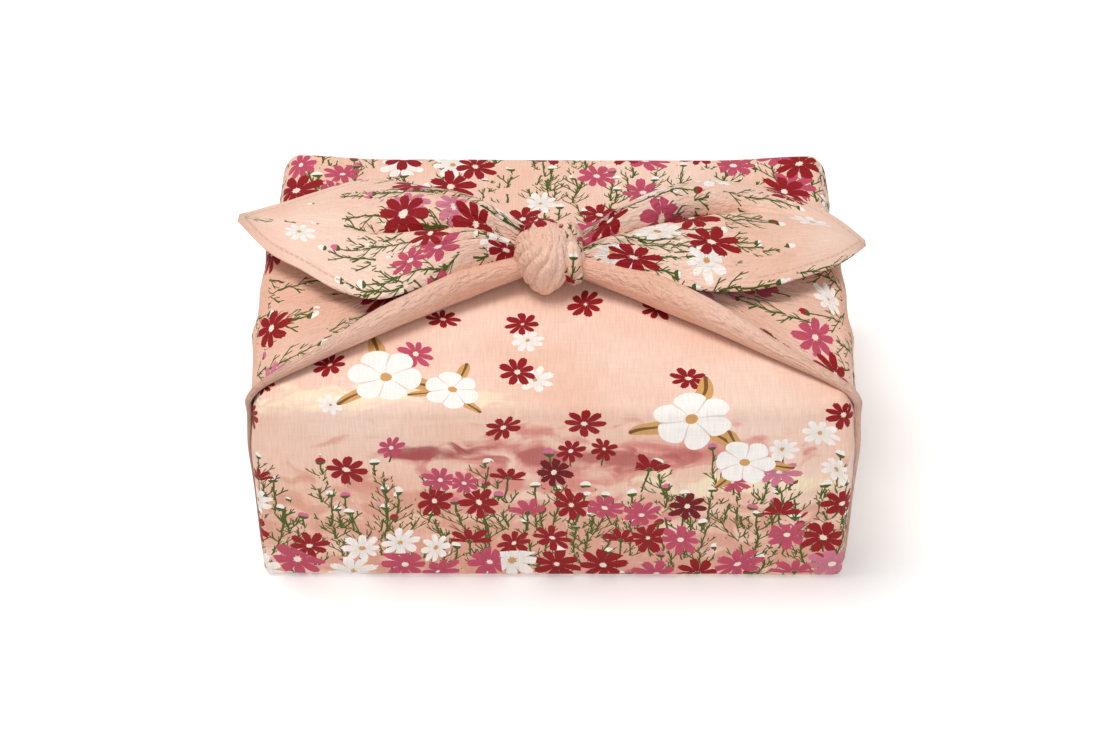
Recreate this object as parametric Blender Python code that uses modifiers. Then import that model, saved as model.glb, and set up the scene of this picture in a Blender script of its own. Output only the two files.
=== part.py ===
"""A square furoshiki tied round a plain gift box.

The cloth is one solid: the wrap that hugs the box, the two side corners drawn up over its ends
into arms, the knot, and the two free corners that lie open like leaves. The box is the other.
Metres, +Z up, the origin on the floor under the middle of the box. Tables are in millimetres.
"""

import math

import bmesh
import bpy
from mathutils import Vector

MM = 0.001

# Driving sizes, in millimetres
WRAP_WIDTH = 225.0
WRAP_FRONT = 79.0
WRAP_BACK = 78.5
WRAP_HEIGHT = 89.5
WALL = 2.0
ARM_WALL = 1.8
LAYER_GAP = 0.5
BOX_GAP = 1.0
BOX_SEAT_GAP = 0.3
EDGE_RADIUS = 7.0
FOOT_RADIUS = 3.5
BOX_EDGE_RADIUS = 6.5
FRONT_LOOSENESS = 2.6
TOP_LOOSENESS = 1.8

# Behind the arms the ends stand out as far as the arms do. An arm's back edge leans forward
# from its foot, and the swell starts a little behind it
BACK_SWELL = 2.0
SWELL_START = 4.0
SWELL_RUN = 16.0
ARM_BACK_FOOT = 70.0
ARM_BACK_LEAN = 0.44

BODY_HALF_WIDTH = WRAP_WIDTH / 2 - ARM_WALL - LAYER_GAP
BODY_HALF_DEPTH = (WRAP_FRONT + WRAP_BACK) / 2
BODY_MIDDLE = (WRAP_BACK - WRAP_FRONT) / 2

# The opening between the folded layers at each end, which an arm covers
END_OPENING_FRONT = -62.0
END_OPENING_BACK = 8.0
END_OPENING_LOW = 16.0
END_OPENING_HIGH = 74.0

# Cells between the rounded edges of the wrap, along X, Y and Z
CELLS = (13, 9, 6)

# Soft troughs and swells of the front: centre x and z, half widths, and how far out they stand
FRONT_FOLDS = {
    "left_trough": (-32, 76, 30, 5, -2.4),
    "right_trough": (42, 73, 34, 6, -2.4),
    "belly": (0, 34, 90, 24, 1.2),
    "left_crease": (-98, 42, 6, 26, -1.8),
    "slant_crease": (66, 38, 9, 22, -1.5),
    "right_crease": (101, 56, 5, 24, -1.4),
}
BACK_FOLDS = {
    "back_trough": (-20, 70, 50, 8, -1.6),
    "back_belly": (15, 32, 80, 24, 0.8),
}
# Lifts of the top: centre x and y, half widths, and height
TOP_FOLDS = {
    "left_back_corner": (-104, 72, 22, 16, 2.8),
    "right_back_corner": (103, 70, 26, 18, 3.0),
    "front_slack": (0, -66, 74, 15, -1.5),
}

# The arm at the right end, from under the box up its end and over the top into the knot.
# Each row: front edge x, y, z, back edge x, y, z, radius of the rolled front edge, pleat height
ARM_SECTIONS = {
    "under": (104.0, -72, 0.95, 104.0, 66, 0.95, 0.9, 0.0),
    "foot": (110.2, -74, 2.8, 110.2, 68, 2.8, 0.9, 0.0),
    "low": (111.6, -75, 10, 111.6, 67, 10, 0.9, 0.2),
    "middle": (111.6, -75.5, 45, 111.6, 52, 45, 0.9, 0.5),
    "high": (111.6, -76, 79, 111.6, 37, 79, 1.1, 0.7),
    "shoulder": (109.7, -74, 88.4, 109.7, 33, 88.4, 1.3, 0.8),
    "top_edge": (101.5, -67, 91.0, 101.5, 31.2, 91.0, 1.7, 1.0),
    "top_outer": (83.0, -54.5, 91.2, 80.0, 27, 91.4, 3.0, 1.8),
    "top_middle": (61.0, -40.5, 91.4, 56.0, 21, 92.4, 4.8, 2.6),
    "top_inner": (41.0, -27.0, 92.0, 36.0, 14, 94.0, 6.0, 3.2),
    "neck": (25.0, -16.5, 93.6, 22.0, 8, 96.5, 6.4, 3.0),
    "knot": (6.0, -8.5, 96.5, 6.0, 4, 99.0, 5.4, 2.0),
}
ARM_STEPS = 22
ARM_ACROSS = 12
ROLL_STEPS = 33
ROLL_FIRST_STEP = 2
# Pleats fanning out of the knot: place across the arm from front to back, width, and height share
ARM_PLEATS = {
    "valley": (0.17, 0.05, -0.2),
    "second": (0.36, 0.09, 1.0),
    "third": (0.62, 0.10, 0.7),
    "fourth": (0.86, 0.08, 0.9),
}
LEFT_ROLL_GAIN = 1.15
LEAST_FULL_ROLL = 2.0

# The free corner on each side, from the knot to its tip.
# Each row: x, front edge y and z, back edge y and z, crown, valley between its two folds
LEFT_TAIL = {
    "root": (-6, -6, 106.0, 2, 108.0, 2.0, 0.0),
    "neck": (-20, -10, 108.5, 8, 111.5, 5.0, 3.0),
    "gather": (-33, -16, 107.5, 19, 110.5, 7.0, 4.5),
    "spread": (-48, -25, 105.0, 31, 106.5, 8.0, 3.0),
    "widest": (-64, -32, 102.5, 41, 103.0, 7.0, 0.5),
    "open": (-80, -25, 99.5, 43, 100.5, 5.5, 0.0),
    "taper": (-96, -12, 98.5, 38, 99.0, 4.0, 0.0),
    "point": (-110, 0, 98.0, 31, 98.5, 2.5, 0.0),
    "tip": (-124, 20, 98.5, 24, 98.5, 0.5, 0.0),
}
RIGHT_TAIL = {
    "root": (4, -8, 105.5, 0, 108.0, 2.0, 0.0),
    "neck": (16, -11, 107.5, 3, 111.5, 4.5, 3.5),
    "gather": (30, -17, 105.5, 15, 110.5, 6.5, 5.0),
    "spread": (46, -23, 103.0, 30, 107.0, 7.5, 3.5),
    "widest": (62, -26, 101.5, 39, 104.0, 7.5, 1.0),
    "open": (80, -23, 100.5, 41, 101.5, 6.0, 0.0),
    "taper": (97, -15, 100.0, 34, 100.0, 4.0, 0.0),
    "point": (111, -6, 99.0, 23, 99.5, 2.5, 0.0),
    "tip": (122, 5, 98.5, 9, 98.5, 0.5, 0.0),
}
TAIL_STEPS = 16
TAIL_ACROSS = 12
TAIL_VALLEY = (0.45, 0.16)
TAIL_FULLNESS = 0.7

# Turns of the knot: centre, radii, how far its top leans to the left, and its pleats
KNOT_TURNS = {
    "strap": ((-2.5, -5.0, 103.0), (12.5, 14.5, 13.5), 4.5, 5),
    "upper_turn": ((7.5, -1.0, 107.0), (5.0, 6.5, 8.5), 2.0, 1),
    "lower_turn": ((8.0, -8.5, 100.0), (5.5, 8.5, 8.0), -2.0, 1),
}
KNOT_PLEAT_HEIGHT = 0.45


def clear_scene():
    for obj in list(bpy.data.objects):
        bpy.data.objects.remove(obj)


def soft_bump(distance, half_width):
    """One at the middle, falling smoothly to nothing at about twice the half width."""
    return math.exp(-((distance / half_width) ** 2))


def relief(folds, a, b):
    """How far a face stands out at (a, b), from its table of soft troughs and swells."""
    return sum(
        height * soft_bump(a - centre_a, half_a) * soft_bump(b - centre_b, half_b)
        for centre_a, centre_b, half_a, half_b, height in folds.values()
    )


def smooth_row(table, share):
    """The table's row at a share of its length, on a smooth curve through its rows."""
    rows = list(table.values())
    place = share * (len(rows) - 1)
    i = min(int(place), len(rows) - 2)
    t = place - i
    before, start = rows[max(i - 1, 0)], rows[i]
    end, after = rows[i + 1], rows[min(i + 2, len(rows) - 1)]
    values = []
    for p0, p1, p2, p3 in zip(before, start, end, after):
        slope_in, slope_out = (p2 - p0) / 2, (p3 - p1) / 2
        values.append(
            (2 * t**3 - 3 * t**2 + 1) * p1
            + (t**3 - 2 * t**2 + t) * slope_in
            + (3 * t**2 - 2 * t**3) * p2
            + (t**3 - t**2) * slope_out
        )
    return values


def station(index, count, half):
    """The place of a grid line: close together over the rounded edges, even between them."""
    edge_lines = (0.0, (1 - math.tan(math.pi / 8)) * EDGE_RADIUS, EDGE_RADIUS)
    if index < len(edge_lines):
        return edge_lines[index] - half
    if count - index < len(edge_lines):
        return half - edge_lines[count - index]
    inner_cells = count - 2 * (len(edge_lines) - 1)
    share = (index - len(edge_lines) + 1) / inner_cells
    return (2 * share - 1) * (half - EDGE_RADIUS)


def swell_share(y, z):
    """Nothing under the arm, one well behind its back edge, where the end stands out as far."""
    arm_back = ARM_BACK_FOOT - ARM_BACK_LEAN * max(0.0, min(WRAP_HEIGHT, z))
    share = max(0.0, min(1.0, (y - arm_back - SWELL_START) / SWELL_RUN))
    return share**2 * (3 - 2 * share)


def wrap_point(p):
    """A point of the plain box moved onto the wrap: edges rounded, then slack and folds added."""
    half = Vector((BODY_HALF_WIDTH, BODY_HALF_DEPTH, WRAP_HEIGHT / 2))
    share = max(0.0, min(1.0, (p.z + half.z) / WRAP_HEIGHT))
    radius = FOOT_RADIUS + (EDGE_RADIUS - FOOT_RADIUS) * share**2 * (3 - 2 * share)
    core = Vector(max(-(h - radius), min(h - radius, c)) for c, h in zip(p, half))
    out = (p - core).normalized()
    point = core + out * radius
    z = point.z + half.z
    front = max(0.0, -out.y) ** 2 * relief(FRONT_FOLDS, point.x, z)
    back = max(0.0, out.y) ** 2 * relief(BACK_FOLDS, point.x, z)
    top = max(0.0, out.z) ** 2 * relief(TOP_FOLDS, point.x, point.y + BODY_MIDDLE)
    swell = BACK_SWELL * swell_share(point.y + BODY_MIDDLE, z)
    x = point.x * (1 + swell / BODY_HALF_WIDTH)
    return Vector((x, point.y + BODY_MIDDLE - front + back, z + top))


def object_from(name, bm, collection):
    """Turns a bmesh in millimetres into an object in metres."""
    bmesh.ops.scale(bm, vec=(MM, MM, MM), verts=bm.verts)
    mesh = bpy.data.meshes.new(name)
    bm.to_mesh(mesh)
    bm.free()
    obj = bpy.data.objects.new(name, mesh)
    collection.objects.link(obj)
    return obj


def thicken(obj, wall, offset):
    solidify = obj.modifiers.new("cloth thickness", "SOLIDIFY")
    solidify.thickness = wall * MM
    solidify.offset = offset
    solidify.use_even_offset = True


def make_wrap(collection):
    """The cloth round the box: an open shell, with a gap between its layers at each end."""
    bm = bmesh.new()
    bmesh.ops.create_cube(bm, size=2.0)
    counts = [cells + 4 for cells in CELLS]
    for axis, count in enumerate(counts):
        along = [
            e
            for e in bm.edges
            if abs(e.verts[0].co[axis] - e.verts[1].co[axis]) > 1.0
        ]
        bmesh.ops.subdivide_edges(bm, edges=along, cuts=count - 1, use_grid_fill=True)
    halves = (BODY_HALF_WIDTH, BODY_HALF_DEPTH, WRAP_HEIGHT / 2)
    for vert in bm.verts:
        for axis, (count, half) in enumerate(zip(counts, halves)):
            index = round((vert.co[axis] + 1) / 2 * count)
            vert.co[axis] = station(index, count, half)
    for vert in bm.verts:
        vert.co = wrap_point(vert.co.copy())
    hidden = [
        face
        for face in bm.faces
        if abs(face.normal.x) > 0.9
        and END_OPENING_FRONT < face.calc_center_median().y < END_OPENING_BACK
        and END_OPENING_LOW < face.calc_center_median().z < END_OPENING_HIGH
    ]
    bmesh.ops.delete(bm, geom=hidden, context="FACES")
    wrap = object_from("wrap", bm, collection)
    thicken(wrap, WALL, -1.0)
    return wrap


def arm_frame(share, side):
    """Front edge, back edge, outward direction, roll radius and pleat height of an arm."""
    fx, fy, fz, bx, by, bz, roll, pleat = smooth_row(ARM_SECTIONS, share)
    front = Vector((side * fx, fy, fz))
    back = Vector((side * bx, by, bz))
    ahead = smooth_row(ARM_SECTIONS, min(share + 0.01, 1.0))
    behind = smooth_row(ARM_SECTIONS, max(share - 0.01, 0.0))
    along = Vector(
        (
            side * (ahead[0] + ahead[3] - behind[0] - behind[3]),
            ahead[1] + ahead[4] - behind[1] - behind[4],
            ahead[2] + ahead[5] - behind[2] - behind[5],
        )
    )
    out = (back - front).cross(along).normalized() * side
    return front, back, out, roll, pleat


def arm_point(share, across, side):
    """A point of an arm's sheet: along it from the floor to the knot, across from the front."""
    front, back, out, roll, pleat = arm_frame(share, side)
    lift = sum(
        height * soft_bump(across - place, width)
        for place, width, height in ARM_PLEATS.values()
    )
    return front.lerp(back, across) + out * (pleat * max(lift, 0.0))


def make_arm(side, name, collection):
    """The cloth drawn up over one end of the box and gathered into the knot."""
    bm = bmesh.new()
    bmesh.ops.create_grid(bm, x_segments=ARM_STEPS, y_segments=ARM_ACROSS, size=0.5)
    for vert in bm.verts:
        vert.co = arm_point(vert.co.x + 0.5, vert.co.y + 0.5, side)
    bmesh.ops.recalc_face_normals(bm, faces=bm.faces)
    arm = object_from(name, bm, collection)
    thicken(arm, ARM_WALL, 0.0)
    return arm


def make_roll(side, name, collection):
    """The rolled front edge of an arm: a tube that swells towards the knot."""
    left_gain = LEFT_ROLL_GAIN if side < 0 else 1.0
    shares = [i / ROLL_STEPS for i in range(ROLL_FIRST_STEP, ROLL_STEPS + 1)]
    curve = bpy.data.curves.new(name, "CURVE")
    curve.dimensions = "3D"
    curve.bevel_depth = MM
    curve.bevel_resolution = 2
    curve.use_fill_caps = True
    spline = curve.splines.new("POLY")
    spline.points.add(len(shares) - 1)
    for point, share in zip(spline.points, shares):
        front, back, out, roll, _ = arm_frame(share, side)
        radius = roll * (left_gain if roll > LEAST_FULL_ROLL else 1.0)
        middle = front + out * (radius - ARM_WALL / 2) + (back - front).normalized() * radius
        point.co = (*(middle * MM), 1.0)
        point.radius = radius
    tube = bpy.data.objects.new(name, curve)
    collection.objects.link(tube)
    return as_mesh(tube, collection)


def as_mesh(curve_object, collection):
    """The same shape as a closed mesh, its end caps welded on."""
    bpy.context.view_layer.update()
    graph = bpy.context.evaluated_depsgraph_get()
    mesh = bpy.data.meshes.new_from_object(curve_object.evaluated_get(graph))
    bm = bmesh.new()
    bm.from_mesh(mesh)
    bmesh.ops.remove_doubles(bm, verts=bm.verts, dist=0.00001)
    bmesh.ops.recalc_face_normals(bm, faces=bm.faces)
    bm.to_mesh(mesh)
    bm.free()
    name = curve_object.name
    solid = bpy.data.objects.new(name + "_mesh", mesh)
    solid.matrix_world = curve_object.matrix_world.copy()
    bpy.data.objects.remove(curve_object)
    collection.objects.link(solid)
    return solid


def tail_point(table, share, across):
    """A point of a free corner: along it from the knot to the tip, across from its front edge."""
    x, front_y, front_z, back_y, back_z, crown, valley = smooth_row(table, share)
    y = front_y + (back_y - front_y) * across
    z = front_z + (back_z - front_z) * across
    arch = max(0.0, math.sin(math.pi * across)) ** TAIL_FULLNESS
    valley_place, valley_width = TAIL_VALLEY
    dip = soft_bump(across - valley_place, valley_width)
    return Vector((x, y, z + crown * arch - valley * dip))


def make_tail(table, name, collection):
    """A free corner of the cloth, a thin arched leaf, its root inside the knot."""
    bm = bmesh.new()
    bmesh.ops.create_grid(bm, x_segments=TAIL_STEPS, y_segments=TAIL_ACROSS, size=0.5)
    for vert in bm.verts:
        vert.co = tail_point(table, vert.co.x + 0.5, vert.co.y + 0.5)
    bmesh.ops.recalc_face_normals(bm, faces=bm.faces)
    tail = object_from(name, bm, collection)
    thicken(tail, ARM_WALL, 0.0)
    return tail


def make_knot_turn(name, collection):
    """One turn of the knot: a plump band of pleats that run over it from back to front."""
    centre, radii, lean, pleats = KNOT_TURNS[name]
    bm = bmesh.new()
    bmesh.ops.create_uvsphere(bm, u_segments=16, v_segments=2 * pleats + 4, radius=1.0)
    for vert in bm.verts:
        across, out_y, out_z = vert.co.z, vert.co.x, vert.co.y
        angle = math.asin(max(-1.0, min(1.0, across)))
        pleat = KNOT_PLEAT_HEIGHT * math.cos((2 * pleats + 4) * angle) * math.cos(angle)
        out = Vector((across, out_y, out_z))
        point = Vector(c + (r + pleat) * o for c, r, o in zip(centre, radii, out))
        vert.co = point - Vector((lean * out_z, 0, 0))
    bmesh.ops.recalc_face_normals(bm, faces=bm.faces)
    return object_from(name, bm, collection)


def make_cloth(collection, parts_collection):
    """Joins the wrap, arms, rolls, free corners and knot into the one piece of cloth."""
    cloth = make_wrap(collection)
    cloth.name = "furoshiki_cloth"
    parts = [
        make_arm(1, "right_arm", parts_collection),
        make_arm(-1, "left_arm", parts_collection),
        make_roll(1, "right_roll", parts_collection),
        make_roll(-1, "left_roll", parts_collection),
        make_tail(RIGHT_TAIL, "right_tail", parts_collection),
        make_tail(LEFT_TAIL, "left_tail", parts_collection),
        *(make_knot_turn(name, parts_collection) for name in KNOT_TURNS),
    ]
    for part in parts:
        part.hide_render = True
        part.display_type = "WIRE"
        join = cloth.modifiers.new("join " + part.name, "BOOLEAN")
        join.operation = "UNION"
        join.object = part
    return cloth


def make_box(collection):
    """The plain box inside, which gives the cloth its form."""
    bm = bmesh.new()
    bmesh.ops.create_cube(bm, size=1.0)
    width = 2 * (BODY_HALF_WIDTH - WALL - BOX_GAP)
    depth = 2 * (BODY_HALF_DEPTH - WALL - BOX_GAP - FRONT_LOOSENESS)
    low = WALL + BOX_SEAT_GAP
    high = WRAP_HEIGHT - WALL - BOX_GAP - TOP_LOOSENESS
    bmesh.ops.scale(bm, vec=(width, depth, high - low), verts=bm.verts)
    bmesh.ops.translate(bm, vec=(0, BODY_MIDDLE, (high + low) / 2), verts=bm.verts)
    box = object_from("gift_box", bm, collection)
    bevel = box.modifiers.new("worn edges", "BEVEL")
    bevel.width = BOX_EDGE_RADIUS * MM
    bevel.segments = 3
    return box


def plain_material(name, colour, roughness):
    material = bpy.data.materials.new(name)
    material.use_nodes = True
    shader = material.node_tree.nodes["Principled BSDF"]
    shader.inputs["Base Color"].default_value = (*colour, 1.0)
    shader.inputs["Roughness"].default_value = roughness
    shader.inputs["Metallic"].default_value = 0.0
    return material


def new_collection(name):
    collection = bpy.data.collections.new(name)
    bpy.context.scene.collection.children.link(collection)
    return collection


clear_scene()
furoshiki = new_collection("furoshiki")
joined = new_collection("joined pieces")
cloth_object = make_cloth(furoshiki, joined)
cloth_object.data.materials.append(plain_material("printed_cloth", (0.88, 0.56, 0.44), 0.6))
box_object = make_box(furoshiki)
box_object.data.materials.append(plain_material("box_board", (0.72, 0.6, 0.44), 0.8))
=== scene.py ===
"""A printed furoshiki tied round a gift box: the looks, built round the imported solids.

Tables and helper values are in millimetres, and each mesh is scaled to metres when it is made.
"""

import math

import bmesh
import bpy
from mathutils import Matrix, Vector, noise


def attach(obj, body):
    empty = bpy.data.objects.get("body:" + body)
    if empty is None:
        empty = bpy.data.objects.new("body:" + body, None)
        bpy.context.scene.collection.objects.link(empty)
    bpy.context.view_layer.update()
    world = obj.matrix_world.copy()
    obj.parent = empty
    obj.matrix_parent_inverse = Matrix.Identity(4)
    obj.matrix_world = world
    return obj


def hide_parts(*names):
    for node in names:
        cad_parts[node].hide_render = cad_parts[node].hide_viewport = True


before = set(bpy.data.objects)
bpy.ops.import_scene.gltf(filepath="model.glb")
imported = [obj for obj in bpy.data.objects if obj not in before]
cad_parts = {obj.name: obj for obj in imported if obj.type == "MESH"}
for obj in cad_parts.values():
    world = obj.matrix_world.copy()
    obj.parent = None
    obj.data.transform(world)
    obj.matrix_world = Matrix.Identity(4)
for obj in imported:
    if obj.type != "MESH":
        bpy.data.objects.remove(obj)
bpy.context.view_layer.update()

# The gift box: a plain closed box of light, unvarnished paulownia with eased edges, all of it
# under the cloth. Fine straight grain, about 2 mm from one growth line to the next.
GRAIN_SPACING = 2.0
GRAIN_STRETCH = 0.04
GRAIN_SCALE = (GRAIN_STRETCH * 1000, 1000 / GRAIN_SPACING, 1000 / GRAIN_SPACING)
WOOD_PALE = "#dcc29a"
WOOD_DARK = "#c19e70"


def hex_colour(code):
    """An sRGB hex colour as linear RGBA."""
    channels = [int(code[i : i + 2], 16) / 255 for i in (1, 3, 5)]
    return (*(c / 12.92 if c <= 0.04045 else ((c + 0.055) / 1.055) ** 2.4 for c in channels), 1.0)


def fill_inputs(tree, made, node, inputs):
    """Fills a node's inputs. One that is text is a hex colour, or an earlier node's name and its
    output after a colon."""
    for key, value in inputs.items():
        if isinstance(value, str) and value.startswith("#"):
            node.inputs[key].default_value = hex_colour(value)
        elif isinstance(value, str):
            source, _, output = value.partition(":")
            output = int(output) if output.isdigit() else output or 0
            tree.links.new(made[source].outputs[output], node.inputs[key])
        else:
            node.inputs[key].default_value = value


def add_node(tree, made, name, kind, settings=None, inputs=None):
    """Adds one node under a name. A string of settings is the node's operation, and a tuple fills
    its inputs in turn."""
    node = tree.nodes.new(kind)
    if isinstance(settings, str):
        settings = {"operation": settings}
    for key, value in (settings or {}).items():
        setattr(node, key, value)
    if isinstance(inputs, tuple):
        inputs = dict(enumerate(inputs))
    fill_inputs(tree, made, node, inputs or {})
    made[name] = node


def add_nodes(tree, made, rows):
    """Adds a table's nodes in turn. A row is a node's kind, settings and inputs, or an arithmetic
    operation and its inputs."""
    for name, row in rows.items():
        if row[0].isupper():
            row = ("ShaderNodeMath", row[0], row[1:])
        add_node(tree, made, name, *row)


def ramp_stops(node, stops, interpolation="LINEAR"):
    """Sets a ramp's stops from a list of places and hex colours, or amounts for its alpha."""
    ramp = node.color_ramp
    ramp.interpolation = interpolation
    while len(ramp.elements) < len(stops):
        ramp.elements.new(0.5)
    for element, (place, value) in zip(ramp.elements, stops):
        element.position = place
        element.color = hex_colour(value) if isinstance(value, str) else (1.0, 1.0, 1.0, value)


def new_material(name):
    """A new material, its tree, and its nodes by name, which are the shader alone at first."""
    material = bpy.data.materials.new(name)
    material.use_nodes = True
    made = {"shader": material.node_tree.nodes["Principled BSDF"]}
    return material, material.node_tree, made


paulownia, tree, made = new_material("paulownia wood")
rows = {
    "where": ("ShaderNodeTexCoord",),
    "along": ("ShaderNodeMapping", None, {0: "where:Object", "Scale": GRAIN_SCALE}),
    "grain": ("ShaderNodeTexNoise", None, {"Vector": "along", "Scale": 1.0}),
    "tone": ("ShaderNodeValToRGB", None, ("grain",)),
}
add_nodes(tree, made, rows)
ramp_stops(made["tone"], [(0.35, WOOD_PALE), (0.7, WOOD_DARK)])
fill_inputs(tree, made, made["shader"], {"Base Color": "tone", "Roughness": 0.7})
gift_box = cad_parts["gift_box"]
for slot in gift_box.material_slots:
    slot.material = paulownia

# The furoshiki: one square of plain-weave cotton, 70 cm a side with a narrow stitched hem. First
# the wrap: the layer that shows round the box, pulled snug over its edges, slack below the front
# edge of the top, and lifted a little at the two back corners.
MM = 0.001
WRAP_FRONT = 79.0
WRAP_BACK = 78.5
WRAP_HEIGHT = 89.5
WRAP_HALF_WIDTH = 110.2
HALF = Vector((WRAP_HALF_WIDTH, (WRAP_FRONT + WRAP_BACK) / 2, WRAP_HEIGHT / 2))
BODY_MIDDLE = (WRAP_BACK - WRAP_FRONT) / 2
EDGE_RADIUS = 7.0
FOOT_RADIUS = 3.5
BACK_SWELL = 1.9
SWELL_START = 4.0
SWELL_RUN = 16.0
SIDE_BELLY, RIGHT_SLACK = 2.2, 1.1
BELLY_FADES, SLACK_GROWS = (60, 86), (70, 106)
CRUMPLE_HEIGHT, CRUMPLE_SIZES = 0.35, (34, 22, 26)
ARM_BACK_FOOT = 70.0
ARM_BACK_LEAN = 0.44
CLOTH_THICKNESS = 0.5
FINE_CELL = 4.0
EDGE_CELLS = 5

# Troughs and swells: centre across and up, half widths, and how far out they stand
FRONT_FOLDS = {
    "left_trough": (-32, 76, 30, 5, -2.4),
    "right_trough": (42, 73, 34, 6, -2.4),
    "belly": (0, 34, 90, 24, 1.2),
    "left_crease": (-102, 44, 6, 24, -3.2),
    "left_fold": (-92, 40, 5, 26, 0.9),
    "slant_crease": (66, 34, 8, 18, -1.8),
    "right_crease": (100, 54, 4.5, 24, -4.2),
    "right_fold": (90, 48, 4, 24, 1.6),
}
BACK_FOLDS = {
    "back_trough": (-20, 70, 50, 8, -1.6),
    "back_belly": (15, 32, 80, 24, 0.8),
}
TOP_FOLDS = {
    "left_back_corner": (-104, 72, 22, 16, 2.8),
    "right_back_corner": (103, 70, 26, 18, 3.0),
    "front_slack": (0, -66, 74, 15, -1.5),
    "right_front_peak": (106, -74, 5, 4, 1.8),
}
# Where each face of the wrap lies on the print, whose V runs up the front and over the top
PRINT_TOP = WRAP_HEIGHT
PRINT_BACK = WRAP_HEIGHT + 2 * HALF.y
SIDE_SEAM = -20.0


def soft_bump(distance, half_width):
    return math.exp(-((distance / half_width) ** 2))


def ease(value, low, high):
    """Nothing at low, one at high, and smooth between."""
    share = max(0.0, min(1.0, (value - low) / (high - low)))
    return share**2 * (3 - 2 * share)


def relief(folds, a, b):
    """How far a face stands out at (a, b), from its table of troughs and swells."""
    return sum(
        height * soft_bump(a - centre_a, half_a) * soft_bump(b - centre_b, half_b)
        for centre_a, centre_b, half_a, half_b, height in folds.values()
    )


def smooth_row(table, share):
    """The table's row at a share of its length, on a smooth curve through its rows."""
    rows = list(table.values())
    place = max(0.0, min(1.0, share)) * (len(rows) - 1)
    i = min(int(place), len(rows) - 2)
    t = place - i
    before, start = rows[max(i - 1, 0)], rows[i]
    end, after = rows[i + 1], rows[min(i + 2, len(rows) - 1)]
    return [
        (2 * t**3 - 3 * t**2 + 1) * p1
        + (t**3 - 2 * t**2 + t) * (p2 - p0) / 2
        + (3 * t**2 - 2 * t**3) * p2
        + (t**3 - t**2) * (p3 - p1) / 2
        for p0, p1, p2, p3 in zip(before, start, end, after)
    ]


def side_slack(x, z):
    """How far the cloth bulges out at the ends of the box, more so low down and on the right."""
    low = SIDE_BELLY * (1 - ease(z, *BELLY_FADES))
    return math.copysign(low + (RIGHT_SLACK if x > 0 else 0.0), x) * ease(abs(x), *SLACK_GROWS)


def grid_line(index, count, half):
    """The place of a grid line: close together over the rounded edges, even between them."""
    for step, sign in ((index, -1), (count - index, 1)):
        if step <= EDGE_CELLS:
            angle = math.pi / 4 * (1 - step / EDGE_CELLS)
            return sign * (half - EDGE_RADIUS * (1 - math.tan(angle)))
    share = (index - EDGE_CELLS) / (count - 2 * EDGE_CELLS)
    return (2 * share - 1) * (half - EDGE_RADIUS)


def wrap_point(p, inset):
    """A point of the plain block moved onto the wrap, or onto a layer that far inside it."""
    radius = FOOT_RADIUS + (EDGE_RADIUS - FOOT_RADIUS) * ease(p.z, -HALF.z, HALF.z)
    core = Vector(max(-(h - radius), min(h - radius, c)) for c, h in zip(p, HALF))
    out = (p - core).normalized()
    point = core + out * (radius - inset)
    y, z = point.y + BODY_MIDDLE, point.z + HALF.z
    front = max(0.0, -out.y) ** 2 * relief(FRONT_FOLDS, point.x, z)
    back = max(0.0, out.y) ** 2 * relief(BACK_FOLDS, point.x, z)
    top = max(0.0, out.z) ** 2 * relief(TOP_FOLDS, point.x, y)
    arm_back = ARM_BACK_FOOT - ARM_BACK_LEAN * max(0.0, min(WRAP_HEIGHT, z))
    swell = BACK_SWELL * ease(y, arm_back + SWELL_START, arm_back + SWELL_START + SWELL_RUN)
    crumple_at = Vector(c / size for c, size in zip((point.x, y, z), CRUMPLE_SIZES))
    shift = out * CRUMPLE_HEIGHT * noise.noise(crumple_at) * ease(z, 3, 12)
    x = point.x * (1 + swell / WRAP_HALF_WIDTH) + side_slack(point.x, z)
    return Vector((x, y - front + back, z + top)) + shift


def wrap_print(p, axis, sign, near_front):
    """Where a point of one side of the plain block lies on the print. Under each arm the print of
    the front, which goes on round the edge, meets that of the back."""
    up, from_front = p.z + HALF.z, p.y + HALF.y
    if axis == 2:
        return p.x, PRINT_TOP + from_front if sign > 0 else -from_front
    if axis == 1:
        return p.x, PRINT_BACK + WRAP_HEIGHT - up if sign > 0 else up
    if near_front:
        return sign * (HALF.x + from_front), up
    return sign * (HALF.x + 2 * HALF.y - from_front), PRINT_BACK + WRAP_HEIGHT - up


def add_wrap(bm, cell, inset, keep_bottom=True):
    """Adds one layer of cloth round the box: six grids, joined at their edges and moved."""
    uv, hem = bm.loops.layers.uv["print"], bm.verts.layers.float["hem"]
    counts = [2 * EDGE_CELLS + round(2 * (half - EDGE_RADIUS) / cell) for half in HALF]
    block = []
    for axis, sign in ((0, -1), (0, 1), (1, -1), (1, 1), (2, 1), (2, -1)):
        if (axis, sign) == (2, -1) and not keep_bottom:
            continue
        wide, high = (axis + 1) % 3, (axis + 2) % 3
        grid = bmesh.ops.create_grid(bm, x_segments=counts[wide], y_segments=counts[high], size=0.5)
        for vert in grid["verts"]:
            place = Vector()
            place[axis] = sign * HALF[axis]
            for line, share in ((wide, vert.co.x + 0.5), (high, vert.co.y + 0.5)):
                place[line] = grid_line(round(share * counts[line]), counts[line], HALF[line])
            vert.co = place
            vert[hem] = NO_HEM
        for face in {f for v in grid["verts"] for f in v.link_faces}:
            near_front = face.calc_center_median().y < SIDE_SEAM
            for loop in face.loops:
                loop[uv].uv = Vector(wrap_print(loop.vert.co, axis, sign, near_front)) * MM
        block += grid["verts"]
    bmesh.ops.remove_doubles(bm, verts=block, dist=0.001)
    block = [v for v in block if v.is_valid]
    bmesh.ops.recalc_face_normals(bm, faces=list({f for v in block for f in v.link_faces}))
    for vert in block:
        vert.co = wrap_point(vert.co.copy(), inset)


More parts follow.
